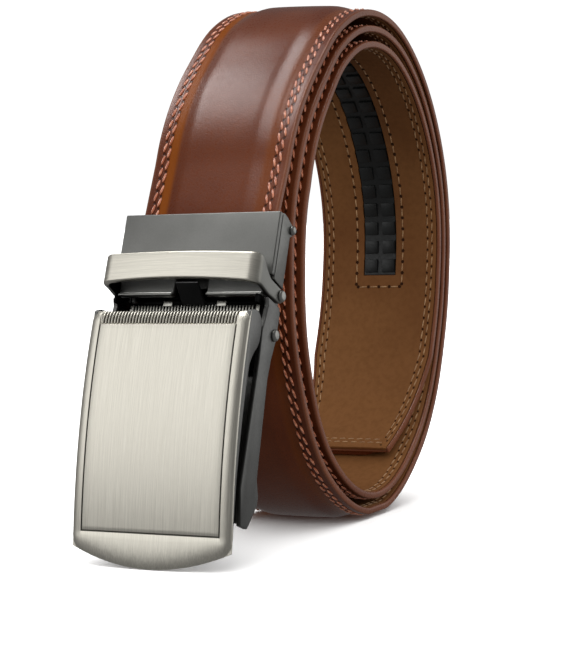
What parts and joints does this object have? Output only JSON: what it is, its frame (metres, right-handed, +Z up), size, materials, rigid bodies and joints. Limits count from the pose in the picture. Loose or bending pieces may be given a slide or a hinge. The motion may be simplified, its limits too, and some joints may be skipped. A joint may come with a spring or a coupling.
{
  "type": "ratchet belt",
  "caption": "Leather ratchet belt rolled into an upright coil, with a strap clamp, a keeper loop and a hinged lid that holds the tail's toothed track.",
  "frame": {"origin": "middle of the belt's footprint, on the surface that it stands on", "axes": "+X across the strap, -Y to the front where the buckle is, +Z up"},
  "size_m": [0.042, 0.1404, 0.1301],
  "materials": {
    "strap_leather": "smooth cognac leather, semi-gloss",
    "strap_lining": "tan split leather, matt",
    "ratchet_track": "black moulded plastic",
    "clamp_plate": "gunmetal plating, satin",
    "clamp_body": "gunmetal plating, satin",
    "clamp_jaw": "gunmetal plating, satin",
    "keeper_loop": "brushed nickel plating",
    "buckle_frame": "gunmetal plating, satin",
    "lid": "brushed nickel plating",
    "pawl_bracket": "black plating",
    "spring_tongue": "black spring steel",
    "loop_pin": "gunmetal plating, satin",
    "lid_pin": "gunmetal plating, satin"
  },
  "bodies": {
    "belt": {"strap_leather": "strap_leather", "strap_lining": "strap_lining", "ratchet_track": "ratchet_track", "clamp_plate": "clamp_plate", "clamp_body": "clamp_body", "clamp_jaw": "clamp_jaw", "keeper_loop": "keeper_loop", "buckle_frame": "buckle_frame", "spring_tongue": "spring_tongue", "loop_pin": "loop_pin", "lid_pin": "lid_pin"},
    "lid": {"lid": "lid", "pawl_bracket": "pawl_bracket"}
  },
  "joints": [
    {"name": "lid_hinge", "type": "hinge", "parent": "belt", "child": "lid", "pos_m": [0, -0.04551, 0.04986], "axis": [-1, 0, 0], "range_deg": [0, 28], "stiffness_Nm_per_rad": 0.06, "springref_deg": -34.38}
  ]
}
